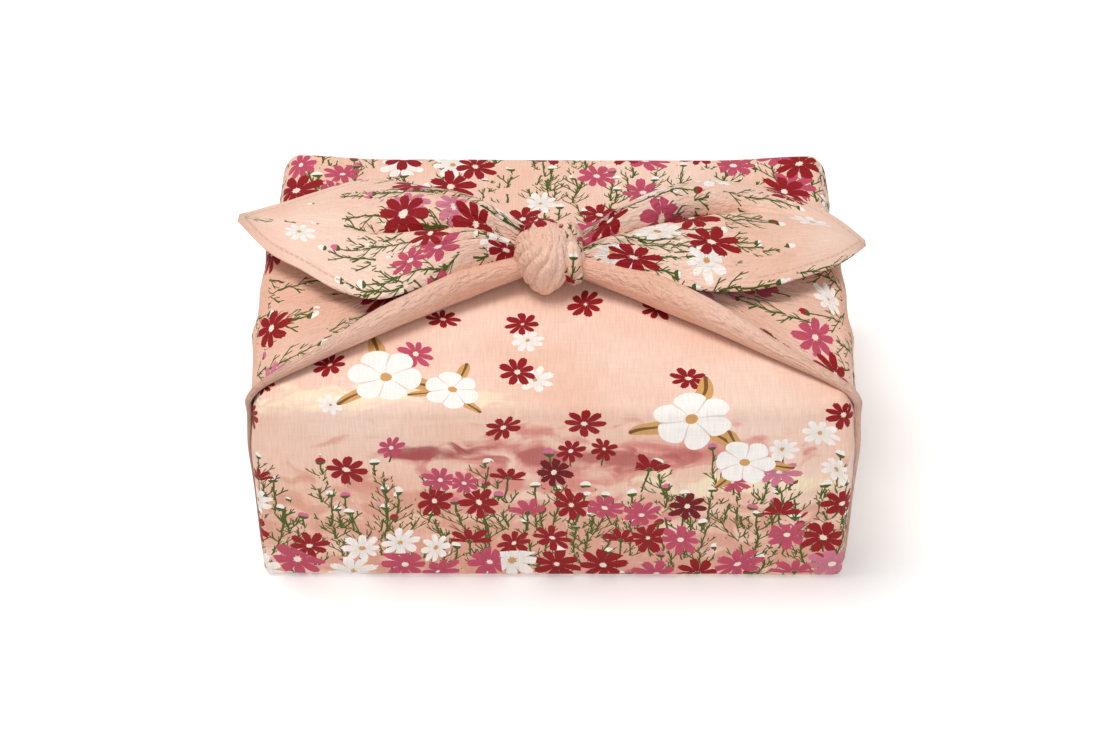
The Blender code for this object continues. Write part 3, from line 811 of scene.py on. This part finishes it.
SPRIG_INPUTS = tuple("Foot Width Height Seed Low High Chance Field".split())
sprigs = start_layer_group("cosmos sprigs", SPRIG_INPUTS)
rows = {
    "in": ("NodeGroupInput",),
    "tile": (XYZ, None, ("in:Width", "in:Height", 1.0)),
    "scaled": (VECTOR, "DIVIDE", ("in:Place", "tile")),
    "cell": (VECTOR, "FLOOR", ("scaled",)),
    "part": (VECTOR, "FRACTION", ("scaled",)),
    "local": (VECTOR, "MULTIPLY", ("part", "tile")),
    "local_xyz": (XYZ_OF, None, ("local",)),
    "seed": (XYZ, None, (0.0, 0.0, "in:Seed")),
    "seeded": (VECTOR, "ADD", ("cell", "seed")),
    "luck": ("ShaderNodeTexWhiteNoise", None, ("seeded",)),
    "lucks": ("ShaderNodeSeparateColor", None, ("luck:Color",)),
    "cell_xyz": (XYZ_OF, None, ("cell",)),
    "cell_v": ("MULTIPLY_ADD", "cell_xyz:Y", "in:Height", "in:Foot"),
    **chance_rows("cell_v", "in:Chance"),
    "keep": ("LESS_THAN", "luck", "chance"),
    # The stem, bent, with a bud in a green cup at its top
    "top_share_x": ("MULTIPLY_ADD", "lucks:Red", 0.24, 0.38),
    "top_share_y": ("MULTIPLY_ADD", "lucks:Green", 0.3, 0.6),
    "top_x": ("MULTIPLY", "top_share_x", "in:Width"),
    "top_y": ("MULTIPLY", "top_share_y", "in:Height"),
    "below": ("SUBTRACT", "top_y", "local_xyz:Y"),
    "down": ("DIVIDE", "below", "in:Height"),
    "down_squared": ("POWER", "down", 2.0),
    "bend": ("MULTIPLY_ADD", "lucks:Blue", STEM_BEND, -STEM_BEND / 2),
    "stem_x": ("MULTIPLY_ADD", "down_squared", "bend", "top_x"),
    "off_stem": ("SUBTRACT", "local_xyz:X", "stem_x"),
    "beside": ("ABSOLUTE", "off_stem"),
    "on_stem": ("LESS_THAN", "beside", STEM_HALF_WIDTH),
    "hangs": ("GREATER_THAN", "below", 0.0),
    "stem": ("MULTIPLY", "on_stem", "hangs"),
    "bud_place": (XYZ, None, ("off_stem", "below", 0.0)),
    "bud_reach": (VECTOR, "LENGTH", ("bud_place",)),
    "bud": ("LESS_THAN", "bud_reach:Value", BUD_RADIUS),
    "in_cup": ("GREATER_THAN", "below", 0.3),
    # Leaves: threads that rise from the stem, forked along their upper side
    "sided": ("SIGN", "off_stem"),
    "staggered": ("MULTIPLY_ADD", "sided", LEAF_STAGGER, "local_xyz:Y"),
    "slope": ("MULTIPLY_ADD", "beside", -LEAF_SLOPE, "staggered"),
    "slope_step": ("DIVIDE", "slope", LEAF_PITCH),
    "branch": ("FLOOR", "slope_step"),
    "branch_side": ("MULTIPLY_ADD", "sided", 50.0, "branch"),
    "branch_luck": ("ShaderNodeTexWhiteNoise", {"noise_dimensions": "4D"}, ("seeded", "branch_side")),
    "branch_reach": ("MULTIPLY_ADD", "branch_luck", LEAF_REACH, -0.4),
    "short": ("LESS_THAN", "beside", "branch_reach"),
    "over_branch_share": ("FRACT", "slope_step"),
    "over_branch": ("MULTIPLY", "over_branch_share", LEAF_PITCH),
    "on_branch": ("LESS_THAN", "over_branch", 2 * THREAD_HALF_WIDTH),
    "lean": ("MULTIPLY_ADD", "over_branch", -0.35, "beside"),
    "from_fork": ("PINGPONG", "lean", FORK_PITCH / 2),
    "on_fork": ("LESS_THAN", "from_fork", THREAD_HALF_WIDTH * 0.8),
    "near_branch": ("LESS_THAN", "over_branch", FORK_REACH),
    "fork": ("MULTIPLY", "on_fork", "near_branch"),
    "threads": ("MAXIMUM", "on_branch", "fork"),
    "short_threads": ("MULTIPLY", "threads", "short"),
    "under_top": ("GREATER_THAN", "below", BARE_TOP),
    "leaves": ("MULTIPLY", "short_threads", "under_top"),
    "greens": ("MAXIMUM", "stem", "leaves"),
    "drawn": ("MAXIMUM", "greens", "bud"),
    "mask": ("MULTIPLY", "drawn", "keep"),
    "petal_colours": (RAMP, None, ("lucks:Blue",)),
    "in_petals": ("SUBTRACT", "bud", "in_cup"),
    "colour": (*MIX, {0: "in_petals", 6: LEAF_COLOUR, 7: "petal_colours"}),
    "out": ("NodeGroupOutput", None, ("colour:2", "mask")),
}
made = {}
add_nodes(sprigs, made, rows)
ramp_stops(made["plan"], FIELD_PLAN, "CONSTANT")
ramp_stops(made["petal_colours"], [(0.0, "#f6efe8"), (0.6, "#d56f90"), (0.85, "#a8122b")], "CONSTANT")

# Layers of sprigs: place across, foot of a row on the print, tile width and height, seed, share of
# tiles filled between two places up the print, and share of the field's plan
SPRIG_LAYERS = {
    "sprigs": (4, -22, 19, 34, 3, -60, 20, 1.0, 1.0),
    "more_sprigs": (12, -10, 20, 32, 11, -60, 30, 0.9, 0.9),
    "tall_sprigs": (17, -31, 17, 38, 19, -60, 12, 1.0, 0.8),
    "high_sprigs": (3, 27, 19, 30, 26, 20, 40, 0.85, 0.0),
    "top_sprigs": (9, 42, 21, 30, 31, 40, 50, 0.85, 0.0),
}
# Layers of heads: shift, cell, largest radius, how much smaller at a bed's top, share of cells
# filled between two places up the print, share of the field's plan, first tint and spread of tints
HEAD_LAYERS = {
    "field_pale": (310, 20, 9.6, 0, 0, -1, 0, 0.68, 0.54, 0.4),
    "field_crimson": (170, 31, 11.0, 0, 0, -1, 0, 1.0, 0.0, 0.46),
    "scattered_white": (455, 34, 7.6, 0, 70, 158, 0.4, 0, 0.66, 0.24),
    "scattered_crimson": (613, 31, 8.2, 0, 74, 168, 0.62, 0, 0.0, 0.56),
    "bed": (941, 16.5, 10.8, 0.4, -160, 70, 1.0, 0, 0.0, 1.0),
}

# In two places larger blossoms lie on a cream mist: six broad white petals with an ochre heart, on
# three ochre leaves. Each: place across and up the print, radius, and turn
BLOSSOMS = {
    "left": (-62, 107, 14, 0.4),
    "left_small": (-37, 100, 10, 1.3),
    "right": (52, 84, 15, 1.1),
    "right_small": (72, 62, 10.5, 0.2),
}
BLOSSOM_WHITE = "#fbf6f1"
BLOSSOM_LINE = "#e3d3cf"
OCHRE, OCHRE_DARK = "#d3a063", "#7d5426"
# As shares of a blossom's radius or of a lobe: how far its leaves reach, where a leaf's rib starts,
# how blunt its petals are, how deep the notches between them, their seams, and its heart
OCHRE_LEAF_REACH, RIB_FROM = 1.62, 0.985
PETAL_ROUNDNESS, PETAL_NOTCH, SEAM_UNDER, BLOSSOM_HEART = 0.45, 0.32, 0.12, 0.17

# The ground between them is peach, mottled, with soft rose clouds and the two cream mists: place
# across and up the print, half widths. The long and right rose clouds and the two deep rose streaks
# are partly print and partly painted shade: they darken the trough and creases under the top's front
# edge.
GROUND_PALE, GROUND_PEACH = "#f3d2c1", "#ecbfa9"
ROSE_AND_SHADE, DEEP_ROSE_AND_SHADE, MIST = "#d9877e", "#9c3540", "#f8e4c6"
# The arms' deeper tint is a painted shade, for the shade in their rolls and folds
BED_ROSE, ARM_SHADE_TINT = "#d3907a", "#dd9f84"
CLOUDS_AND_SHADE = {
    "bed": (0, 12, 170, 56, BED_ROSE, 0.7),
    # The long and right rose clouds and the two deep streaks are partly painted shade of the trough
    # under the top's front edge
    "long": (6, 60, 66, 15, ROSE_AND_SHADE, 0.75),
    "right": (56, 68, 34, 11, ROSE_AND_SHADE, 0.7),
    "foot": (38, 30, 16, 10, ROSE_AND_SHADE, 0.5),
    "left_rose_and_shade": (-46, 67, 21, 4.5, DEEP_ROSE_AND_SHADE, 0.8),
    "middle_rose_and_shade": (14, 63, 40, 7, DEEP_ROSE_AND_SHADE, 0.55),
    "left_mist": (-78, 95, 50, 9, MIST, 0.95),
    "right_mist": (68, 52, 42, 9, MIST, 0.95),
}
CLOUD_EDGE, RAGGED_EDGE = (1.05, 0.3), 0.7
# Where, up the print, the arms start to take a painted shade: a deeper tint that stands in for the warm
# shade in their rolls and folds
ARM_SHADE_FROM_TO, ARM_SHADE_TONE = (660.0, 700.0), 0.3
# How far the print's lines stray from a plain pattern, broadly and finely
DRIFT_MM, WAVER_MM = 2.6, 0.35
# The cloth: a plain weave of slubbed thread. Its threads are a quarter of a millimetre, and are
# drawn at 0.9 mm so that they show. Where it is drawn into the knot it crinkles into fine creases.
THREAD_PITCH, THREAD_HEIGHT = 0.9, 0.035
SLUB_HEIGHT, SLUB_TONE = 0.06, 0.065
CREASE_HEIGHT = 1.7
CREASED_PLACES = [
    (0.0, 0.0),
    (0.38, 0.0),
    (0.41, 1.0),
    (0.565, 0.7),
    (0.61, 0.1),
    (0.7, 0.1),
    (0.78, 0.15),
    (0.86, 0.7),
    (0.93, 1.0),
]
STITCH_LINE, STITCH_HALF_WIDTH, STITCH_PITCH, STITCH_GAP, STITCH_SINK = 3.4, 0.28, 2.4, 0.7, 0.12
HEM_WIDTH, HEM_HEIGHT = 4.2, 0.25
STITCH_COLOUR = "#e2b7a1"

cotton, tree, made = new_material("printed cotton")
rows = {
    "map": ("ShaderNodeUVMap", {"uv_map": "print"}),
    "mm": (VECTOR, "SCALE", {0: "map", "Scale": 1000.0}),
    "mm_xyz": (XYZ_OF, None, ("mm",)),
    "share": ("DIVIDE", "mm_xyz:Y", PRINT_LENGTH),
    "drift": (NOISE, None, {"Vector": "mm", "Scale": 0.055, "Detail": 1.0}),
    "drift_out": (VECTOR, "SUBTRACT", ("drift:Color", (0.5, 0.5, 0.5))),
    "drift_mm": (VECTOR, "SCALE", {0: "drift_out", "Scale": DRIFT_MM * 2}),
    "bent": (VECTOR, "ADD", ("mm", "drift_mm")),
    "waver": (NOISE, None, {"Vector": "mm", "Scale": 0.3, "Detail": 1.0}),
    "waver_out": (VECTOR, "SUBTRACT", ("waver:Color", (0.5, 0.5, 0.5))),
    "waver_mm": (VECTOR, "SCALE", {0: "waver_out", "Scale": WAVER_MM * 2}),
    "place": (VECTOR, "ADD", ("bent", "waver_mm")),
    "mottle": (NOISE, None, {"Vector": "mm", "Scale": 0.016, "Detail": 3.0}),
    "ground": (RAMP, None, ("mottle",)),
    "flatten": ("ShaderNodeMapping", None, {0: "bent", "Scale": (0.03, 0.11, 1.0)}),
    "vapour": (NOISE, None, {"Vector": "flatten", "Scale": 1.0, "Detail": 3.0}),
    "ragged": (RANGE, None, ("vapour", 0.3, 0.7, -RAGGED_EDGE, RAGGED_EDGE)),
    # Painted shade: the arms are tinted deeper up the print, for the shade in their rolls and folds
    "pulled": (RANGE, None, ("mm_xyz:Y", *ARM_SHADE_FROM_TO, 0.0, ARM_SHADE_TONE)),
    "below": (*MIX, {0: "pulled", 6: "ground", 7: ARM_SHADE_TINT}),
}
add_nodes(tree, made, rows)
ramp_stops(made["ground"], [(0.38, GROUND_PALE), (0.62, GROUND_PEACH)])

# Each layer is mixed over what is below it
# Some of these clouds are partly painted shade, under the top's front edge
for across, up, half_across, half_up, colour, strength in CLOUDS_AND_SHADE.values():
    rows = {
        "from_cloud": (VECTOR, "SUBTRACT", ("bent", (across, up, 0.0))),
        "part": (VECTOR, "MULTIPLY", ("from_cloud", (1 / half_across, 1 / half_up, 0.0))),
        "reach": (VECTOR, "LENGTH", ("part",)),
        "edge": ("ADD", "reach:Value", "ragged"),
        "cloud": (
            RANGE,
            {"interpolation_type": "SMOOTHSTEP"},
            ("edge", *CLOUD_EDGE, 0.0, strength),
        ),
        "below": (*MIX, {0: "cloud", 6: "below:2", 7: colour}),
    }
    add_nodes(tree, made, rows)

layers = [
    (sprigs, across, foot, SPRIG_INPUTS, (foot, *values))
    for across, foot, *values in SPRIG_LAYERS.values()
]
layers += [(heads, 0, 0, HEAD_INPUTS, values) for values in HEAD_LAYERS.values()]
for group, across, foot, inputs, values in layers:
    rows = {
        "layer_place": (VECTOR, "SUBTRACT", ("place", (across, foot, 0.0))),
        "layer": (
            "ShaderNodeGroup",
            {"node_tree": group},
            {"Place": "layer_place", **dict(zip(inputs, values))},
        ),
        "below": (*MIX, {0: "layer:Mask", 6: "below:2", 7: "layer:Colour"}),
    }
    add_nodes(tree, made, rows)

for across, up, radius, turn in BLOSSOMS.values():
    rows = {
        "from_heart": (VECTOR, "SUBTRACT", ("bent", (across, up, 0.0))),
        "from_heart_xyz": (XYZ_OF, None, ("from_heart",)),
        "reach": (VECTOR, "LENGTH", ("from_heart",)),
        "rho": ("DIVIDE", "reach:Value", radius),
        "angle": ("ARCTAN2", "from_heart_xyz:Y", "from_heart_xyz:X"),
        # Three leaves, pointed ovals that reach out from under the petals
        "leaf_angle": ("MULTIPLY_ADD", "angle", 1.5, turn),
        "leaf_cosine": ("COSINE", "leaf_angle"),
        "leaf_squared": ("POWER", "leaf_cosine", 2.0),
        "leaf_lobe": ("POWER", "leaf_squared", 5.0),
        "leaf_reach": ("MULTIPLY", "leaf_lobe", OCHRE_LEAF_REACH),
        "leaf": ("LESS_THAN", "rho", "leaf_reach"),
        "rib": ("GREATER_THAN", "leaf_lobe", RIB_FROM),
        "leaf_colour": (*MIX, {0: "rib", 6: OCHRE, 7: OCHRE_DARK}),
        "leaves_on": (*MIX, {0: "leaf", 6: "below:2", 7: "leaf_colour:2"}),
        # Six broad petals
        "petal_angle": ("MULTIPLY_ADD", "angle", 3.0, turn),
        "petal_cosine": ("COSINE", "petal_angle"),
        "petal_lobe": ("ABSOLUTE", "petal_cosine"),
        "petal_round": ("POWER", "petal_lobe", PETAL_ROUNDNESS),
        "petal_reach": ("MULTIPLY_ADD", "petal_round", PETAL_NOTCH, 1 - PETAL_NOTCH),
        "petal": ("LESS_THAN", "rho", "petal_reach"),
        "seam": ("LESS_THAN", "petal_lobe", SEAM_UNDER),
        "petal_colour": (*MIX, {0: "seam", 6: BLOSSOM_WHITE, 7: BLOSSOM_LINE}),
        "petals_on": (*MIX, {0: "petal", 6: "leaves_on:2", 7: "petal_colour:2"}),
        "heart": ("LESS_THAN", "rho", BLOSSOM_HEART),
        "below": (*MIX, {0: "heart", 6: "petals_on:2", 7: OCHRE}),
    }
    add_nodes(tree, made, rows)

rate = 2 * math.pi / THREAD_PITCH
rows = {
    # Threads both ways, and slubs: thicker lengths of thread
    "warp_angle": ("MULTIPLY", "mm_xyz:X", rate),
    "warp": ("SINE", "warp_angle"),
    "weft_angle": ("MULTIPLY", "mm_xyz:Y", rate),
    "weft": ("SINE", "weft_angle"),
    "weave": ("MULTIPLY", "warp", "weft"),
    "up_scale": ("ShaderNodeMapping", None, {0: "mm", "Scale": (1.5, 0.11, 1.0)}),
    "up_slubs": (NOISE, None, {"Vector": "up_scale", "Scale": 1.0, "Detail": 1.0}),
    "cross_scale": ("ShaderNodeMapping", None, {0: "mm", "Scale": (0.11, 1.5, 1.0)}),
    "cross_slubs": (NOISE, None, {"Vector": "cross_scale", "Scale": 1.0, "Detail": 1.0}),
    "slubs": ("MULTIPLY_ADD", "cross_slubs", 0.45, "up_slubs"),
    "slub_tone": (RANGE, None, ("slubs", 0.5, 0.95, 1 - SLUB_TONE, 1 + SLUB_TONE)),
    "woven": (VECTOR, "SCALE", {0: "below:2", "Scale": "slub_tone"}),
    # Creases near the knot, drawn out along the cloth
    "creased": (RAMP, None, ("share",)),
    "crease_scale": ("ShaderNodeMapping", None, {0: "place", "Scale": (0.75, 0.3, 1.0)}),
    "creases": (NOISE, None, {"Vector": "crease_scale", "Scale": 1.0, "Detail": 2.0}),
    "crease_height": ("MULTIPLY", "creases", "creased:Alpha"),
    # The hem: a turned edge, a step where its fold ends, and a line of stitches
    "hem": ("ShaderNodeAttribute", {"attribute_name": "hem"}),
    "off_stitch": ("SUBTRACT", "hem:Fac", STITCH_LINE),
    "from_stitch": ("ABSOLUTE", "off_stitch"),
    "on_line": ("LESS_THAN", "from_stitch", STITCH_HALF_WIDTH),
    "stitch_step": ("PINGPONG", "mm_xyz:Y", STITCH_PITCH / 2),
    "on_stitch": ("GREATER_THAN", "stitch_step", STITCH_GAP / 2),
    "stitch": ("MULTIPLY", "on_line", "on_stitch"),
    "in_hem": (RANGE, None, ("hem:Fac", HEM_WIDTH, HEM_WIDTH - 0.5, 0.0, 1.0)),
    "sewn": (*MIX, {0: "stitch", 6: "woven", 7: STITCH_COLOUR}),
    # Heights in millimetres
    "weave_mm": ("MULTIPLY", "weave", THREAD_HEIGHT),
    "slub_mm": ("MULTIPLY_ADD", "slubs", SLUB_HEIGHT, "weave_mm"),
    "crease_mm": ("MULTIPLY_ADD", "crease_height", CREASE_HEIGHT, "slub_mm"),
    "hem_mm": ("MULTIPLY_ADD", "in_hem", HEM_HEIGHT, "crease_mm"),
    "line_mm": ("MULTIPLY_ADD", "on_line", -STITCH_SINK, "hem_mm"),
    "bump": ("ShaderNodeBump", None, {"Height": "line_mm", "Distance": MM, "Strength": 1.0}),
}
add_nodes(tree, made, rows)
ramp_stops(made["creased"], CREASED_PLACES)
cotton_look = {
    "Base Color": "sewn:2",
    "Normal": "bump",
    "Roughness": 0.62,
    "Specular IOR Level": 0.22,
    "Sheen Weight": 0.06,
    "Sheen Roughness": 0.4,
    "Sheen Tint": "#ffe9dc",
}
fill_inputs(tree, made, made["shader"], cotton_look)
furoshiki.data.materials.append(cotton)

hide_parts("furoshiki_cloth")
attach(furoshiki, "root")

# The table and the light: a white studio sweep, lit softly from all round, with one large lamp
# high on the left, so that the wrap's shadow falls to its right.
FLOOR_HALF = 3.0
FLOOR_GLOW = 0.21
floor_mesh = bmesh.new()
bmesh.ops.create_grid(floor_mesh, x_segments=1, y_segments=1, size=FLOOR_HALF)
floor = add_object("floor", mesh_of("floor", floor_mesh))
sweep, tree, made = new_material("white studio paper")
rows = {
    "where": ("ShaderNodeTexCoord",),
    "fibre": (NOISE, None, {"Vector": "where:Object", "Scale": 40.0}),
    "white": (RAMP, None, ("fibre",)),
}
add_nodes(tree, made, rows)
ramp_stops(made["white"], [(0.0, "#fbfbfa"), (1.0, "#ffffff")])
glow = {"Emission Color": "#ffffff", "Emission Strength": FLOOR_GLOW}
fill_inputs(tree, made, made["shader"], {"Base Color": "white", "Roughness": 0.9, **glow})
floor.data.materials.append(sweep)

world = bpy.data.worlds.new("studio")
world.use_nodes = True
background = world.node_tree.nodes["Background"]
fill_inputs(world.node_tree, {}, background, {"Color": "#ffffff", "Strength": 0.42})
bpy.context.scene.world = world
# Each lamp: place, width, power, colour
LAMPS = {
    "key": ((-0.35, 0.1, 1.5), 0.7, 14.4, "#fffaf5"),
    "front": ((0.25, -1.5, 1.0), 1.3, 5.8, "#ffffff"),
}
for name, (place, width, power, colour) in LAMPS.items():
    lamp_data = bpy.data.lights.new(name, "AREA")
    lamp_data.size = width
    lamp_data.energy = power
    lamp_data.color = hex_colour(colour)[:3]
    lamp = add_object(name, lamp_data)
    aim = Vector((0, 0, 0.06)) - Vector(place)
    lamp.matrix_world = Matrix.Translation(place) @ aim.to_track_quat("-Z", "Y").to_matrix().to_4x4()
bpy.context.scene.view_settings.view_transform = "Standard"

# The camera: as the photograph's, above and in front, level, with a long lens. Its frame is the
# photograph's 1100 pixels across.
PHOTO_WIDTH = 1100
FOCAL_PIXELS = 2273.5
SENSOR_WIDTH = 36.0
CAMERA_PLACE = Vector((0.0022, -0.6919, 0.6475))
CAMERA_HEIGHT_ANGLE = math.radians(41.273)
CAMERA_TURN = math.radians(0.267)
camera_data = bpy.data.cameras.new("camera")
camera_data.sensor_fit = "HORIZONTAL"
camera_data.sensor_width = SENSOR_WIDTH
camera_data.lens = SENSOR_WIDTH * FOCAL_PIXELS / PHOTO_WIDTH
camera = add_object("camera", camera_data)
right = Vector((math.cos(CAMERA_TURN), math.sin(CAMERA_TURN), 0))
level_out = Vector((right.y, -right.x, 0)) * math.cos(CAMERA_HEIGHT_ANGLE)
to_camera = level_out + Vector((0, 0, math.sin(CAMERA_HEIGHT_ANGLE)))
facing = Matrix((right, to_camera.cross(right), to_camera)).transposed().to_4x4()
camera.matrix_world = Matrix.Translation(CAMERA_PLACE) @ facing
bpy.context.scene.camera = camera
